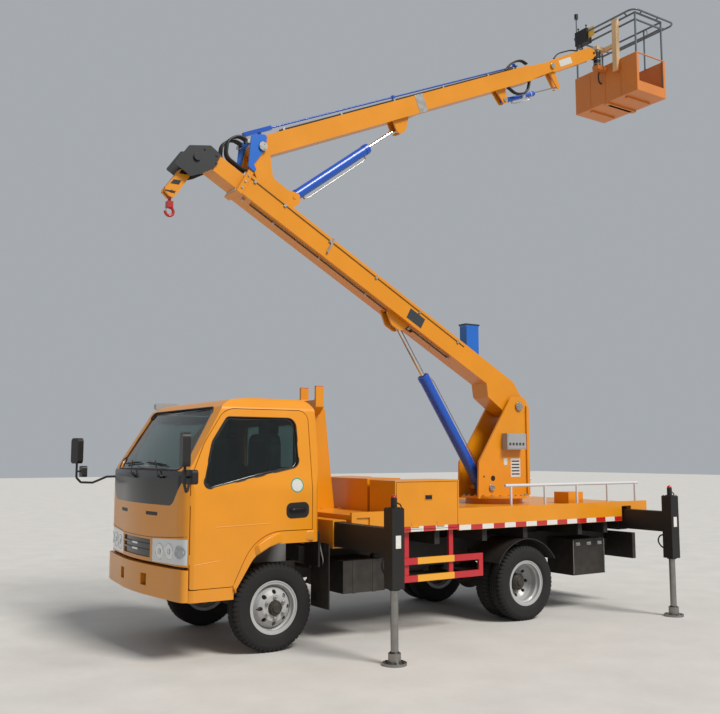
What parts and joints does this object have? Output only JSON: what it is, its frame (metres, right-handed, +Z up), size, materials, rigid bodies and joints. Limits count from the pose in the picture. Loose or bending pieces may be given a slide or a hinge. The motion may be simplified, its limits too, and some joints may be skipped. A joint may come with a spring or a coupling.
{
  "type": "cherry picker truck",
  "caption": "Light cab-over truck with a slewing articulated boom, a self-levelling work basket, a crane head with a hook, and sliding outriggers with jacks.",
  "frame": {"origin": "on the ground at the centre of the bounding box", "axes": "+X forward, +Y to the truck's left, +Z up"},
  "size_m": [7.2343, 3.68, 7.76],
  "materials": {
    "body_paint": "gloss orange-yellow paint",
    "chassis_paint": "satin black paint",
    "axle_paint": "black painted castings and springs",
    "outrigger_paint": "satin black paint",
    "cast_iron": "rough casting",
    "lamp_plastic": "clear and chromed lamp unit",
    "interior_plastic": "grained grey plastic",
    "rail_silver": "silver paint",
    "guard_red": "red paint",
    "black_plastic": "black moulded plastic",
    "glass": "clear",
    "rim_silver": "silver paint",
    "tyre": "matt",
    "jack_steel": "plain steel",
    "light_blue": "light blue paint",
    "blue_paint": "strong blue paint",
    "dark_grey": "dark grey paint",
    "hook_red": "red paint",
    "tub_paint": "faded orange paint",
    "rail_beige": "beige paint",
    "chrome": "polished"
  },
  "bodies": {
    "chassis": {"chassis_frame": "chassis_paint", "engine_block": "cast_iron", "axles_and_springs": "axle_paint", "bumper": "body_paint", "grille_and_lamps": "lamp_plastic", "cab_interior": "interior_plastic", "subframe": "chassis_paint", "deck": "body_paint", "deck_boxes": "body_paint", "boom_rest": "body_paint", "rear_handrails": "rail_silver", "side_guards": "guard_red", "underbody_fittings": "chassis_paint", "cab_shell": "body_paint", "cab_front_panel": "body_paint", "cowl_and_mirrors": "black_plastic", "cab_glass": "glass"},
    "turret": {"turret": "body_paint"},
    "lower_boom": {"lower_boom": "body_paint", "boom_rest_post": "light_blue"},
    "inner_boom": {"inner_boom": "body_paint", "crane_head": "dark_grey"},
    "crane_hook": {"crane_hook": "hook_red"},
    "knuckle_link": {"knuckle_plates": "light_blue"},
    "upper_boom": {"upper_boom": "body_paint", "levelling_line": "blue_paint"},
    "jib": {"jib": "body_paint"},
    "basket_level": {"basket_bracket": "dark_grey"},
    "basket": {"basket_tub": "tub_paint", "basket_rails": "rail_beige"},
    "lift_barrel": {"lift_cylinder_barrel": "blue_paint"},
    "lift_rod": {"lift_cylinder_rod": "chrome"},
    "fold_bushing": {"fold_cylinder_bushing": "blue_paint"},
    "fold_barrel": {"fold_cylinder_barrel": "blue_paint"},
    "fold_piston": {"fold_cylinder_piston": "chrome"},
    "fold_rod": {"fold_cylinder_rod": "chrome"},
    "jib_barrel": {"jib_cylinder_barrel": "blue_paint"},
    "jib_rod": {"jib_cylinder_rod": "chrome"},
    "steer_left": {"knuckle_left": "axle_paint"},
    "front_wheel_left": {"front_rim_left": "rim_silver", "front_tyre_left": "tyre"},
    "rear_wheels_left": {"rear_rims_left": "rim_silver", "rear_tyres_left": "tyre"},
    "door_left": {"door_left": "body_paint", "door_glass_left": "glass"},
    "front_beam_left": {"front_beam_left": "outrigger_paint"},
    "front_jack_left": {"front_jack_left": "jack_steel"},
    "rear_beam_left": {"rear_beam_left": "outrigger_paint"},
    "rear_jack_left": {"rear_jack_left": "jack_steel"},
    "steer_right": {"knuckle_right": "axle_paint"},
    "front_wheel_right": {"front_rim_right": "rim_silver", "front_tyre_right": "tyre"},
    "rear_wheels_right": {"rear_rims_right": "rim_silver", "rear_tyres_right": "tyre"},
    "door_right": {"door_right": "body_paint", "door_glass_right": "glass"},
    "front_beam_right": {"front_beam_right": "outrigger_paint"},
    "front_jack_right": {"front_jack_right": "jack_steel"},
    "rear_beam_right": {"rear_beam_right": "outrigger_paint"},
    "rear_jack_right": {"rear_jack_right": "jack_steel"}
  },
  "joints": [
    {"name": "steer_left", "type": "hinge", "parent": "chassis", "child": "steer_left", "pos_m": [2.4808, 0.59, 0.375], "axis": [0, 0, 1], "range_deg": [-35, 35]},
    {"name": "front_wheel_spin_left", "type": "hinge", "parent": "steer_left", "child": "front_wheel_left", "pos_m": [2.4808, 0.72, 0.375], "axis": [0, 1, 0], "continuous": true},
    {"name": "rear_wheels_spin_left", "type": "hinge", "parent": "chassis", "child": "rear_wheels_left", "pos_m": [-0.3692, 0.715, 0.375], "axis": [0, 1, 0], "continuous": true},
    {"name": "door_swing_left", "type": "hinge", "parent": "chassis", "child": "door_left", "pos_m": [3.3158, 0.9215, 1.3], "axis": [0, 0, -1], "range_deg": [0, 70]},
    {"name": "front_beam_slide_left", "type": "slide", "parent": "chassis", "child": "front_beam_left", "axis": [0, 1, 0], "range_m": [-0.68, 0]},
    {"name": "front_jack_slide_left", "type": "slide", "parent": "front_beam_left", "child": "front_jack_left", "axis": [0, 0, -1], "range_m": [-0.45, 0]},
    {"name": "rear_beam_slide_left", "type": "slide", "parent": "chassis", "child": "rear_beam_left", "axis": [0, 1, 0], "range_m": [-0.515, 0]},
    {"name": "rear_jack_slide_left", "type": "slide", "parent": "rear_beam_left", "child": "rear_jack_left", "axis": [0, 0, -1], "range_m": [-0.45, 0]},
    {"name": "steer_right", "type": "hinge", "parent": "chassis", "child": "steer_right", "pos_m": [2.4808, -0.59, 0.375], "axis": [0, 0, 1], "range_deg": [-35, 35]},
    {"name": "front_wheel_spin_right", "type": "hinge", "parent": "steer_right", "child": "front_wheel_right", "pos_m": [2.4808, -0.72, 0.375], "axis": [0, 1, 0], "continuous": true},
    {"name": "rear_wheels_spin_right", "type": "hinge", "parent": "chassis", "child": "rear_wheels_right", "pos_m": [-0.3692, -0.715, 0.375], "axis": [0, 1, 0], "continuous": true},
    {"name": "door_swing_right", "type": "hinge", "parent": "chassis", "child": "door_right", "pos_m": [3.3158, -0.9215, 1.3], "axis": [0, 0, 1], "range_deg": [0, 70]},
    {"name": "front_beam_slide_right", "type": "slide", "parent": "chassis", "child": "front_beam_right", "axis": [0, -1, 0], "range_m": [-0.68, 0]},
    {"name": "front_jack_slide_right", "type": "slide", "parent": "front_beam_right", "child": "front_jack_right", "axis": [0, 0, -1], "range_m": [-0.45, 0]},
    {"name": "rear_beam_slide_right", "type": "slide", "parent": "chassis", "child": "rear_beam_right", "axis": [0, -1, 0], "range_m": [-0.515, 0]},
    {"name": "rear_jack_slide_right", "type": "slide", "parent": "rear_beam_right", "child": "rear_jack_right", "axis": [0, 0, -1], "range_m": [-0.45, 0]},
    {"name": "turret_slew", "type": "hinge", "parent": "chassis", "child": "turret", "pos_m": [-0.7492, 0, 1.2], "axis": [0, 0, 1], "continuous": true},
    {"name": "lower_boom_lift", "type": "hinge", "parent": "turret", "child": "lower_boom", "pos_m": [-0.9842, 0, 2.233], "axis": [0, -1, 0], "range_deg": [-26.7, 45]},
    {"name": "inner_boom_extend", "type": "slide", "parent": "lower_boom", "child": "inner_boom", "axis": [0.8738, 0, 0.4863], "range_m": [0, 1]},
    {"name": "hook_swing", "type": "hinge", "parent": "inner_boom", "child": "crane_hook", "pos_m": [3.1998, 0, 4.117], "axis": [0, 1, 0], "range_deg": [-30, 50]},
    {"name": "upper_boom_fold", "type": "hinge", "parent": "lower_boom", "child": "knuckle_link", "pos_m": [2.3058, 0, 4.69], "axis": [0, 1, 0], "range_deg": [-50.8, 0]},
    {"name": "upper_boom_raise", "type": "hinge", "parent": "knuckle_link", "child": "upper_boom", "pos_m": [2.3058, 0, 4.69], "axis": [0, 1, 0], "range_deg": [0, 80]},
    {"name": "jib_lift", "type": "hinge", "parent": "upper_boom", "child": "jib", "pos_m": [-1.7492, 0, 6.53], "axis": [0, 1, 0], "range_deg": [-40, 10]},
    {"name": "basket_level", "type": "hinge", "parent": "jib", "child": "basket_level", "pos_m": [-2.5492, 0, 6.915], "axis": [0, -1, 0], "range_deg": [-65, 55]},
    {"name": "basket_swing", "type": "hinge", "parent": "basket_level", "child": "basket", "pos_m": [-2.6792, 0, 6.9], "axis": [0, 0, 1], "range_deg": [-90, 90]},
    {"name": "lift_barrel_turn", "type": "hinge", "parent": "turret", "child": "lift_barrel", "pos_m": [-0.5592, 0, 1.315], "axis": [0, -1, 0], "range_deg": [-20, 34]},
    {"name": "lift_rod_slide", "type": "slide", "parent": "lift_barrel", "child": "lift_rod", "axis": [0.5532, 0, 0.8331], "range_m": [-0.37, 0.62]},
    {"name": "fold_bushing_turn", "type": "hinge", "parent": "lower_boom", "child": "fold_bushing", "pos_m": [1.9358, 0, 4.245], "axis": [0, 1, 0], "range_deg": [-62, 1]},
    {"name": "fold_barrel_turn", "type": "hinge", "parent": "fold_bushing", "child": "fold_barrel", "pos_m": [1.9358, 0, 4.245], "axis": [0, 1, 0], "range_deg": [-1, 71]},
    {"name": "fold_piston_slide", "type": "slide", "parent": "fold_barrel", "child": "fold_piston", "axis": [-0.7987, 0, 0.6017], "range_m": [-0.43, 0.01]},
    {"name": "fold_rod_slide", "type": "slide", "parent": "fold_piston", "child": "fold_rod", "axis": [-0.7987, 0, 0.6017], "range_m": [-0.01, 0.67]},
    {"name": "jib_barrel_turn", "type": "hinge", "parent": "upper_boom", "child": "jib_barrel", "pos_m": [-0.9892, 0, 5.935], "axis": [0, 1, 0], "range_deg": [-1, 2]},
    {"name": "jib_rod_slide", "type": "slide", "parent": "jib_barrel", "child": "jib_rod", "axis": [-0.9239, 0, 0.3825], "range_m": [-0.19, 0.05]}
  ],
  "couplings": [
    {"joint": "steer_right", "follows": "steer_left", "ratio": 1},
    {"joint": "lift_barrel_turn", "follows": "lower_boom_lift", "ratio": 0.73},
    {"joint": "lift_rod_slide", "follows": "lower_boom_lift", "m_per_rad": 0.773},
    {"joint": "fold_bushing_turn", "follows": "upper_boom_fold", "ratio": 1.18},
    {"joint": "fold_barrel_turn", "follows": "upper_boom_raise", "ratio": 0.875},
    {"joint": "fold_piston_slide", "follows": "upper_boom_fold", "m_per_rad": 0.47},
    {"joint": "fold_rod_slide", "follows": "upper_boom_raise", "m_per_rad": 0.475},
    {"joint": "jib_barrel_turn", "follows": "jib_lift", "ratio": -0.04},
    {"joint": "jib_rod_slide", "follows": "jib_lift", "m_per_rad": 0.2565}
  ]
}
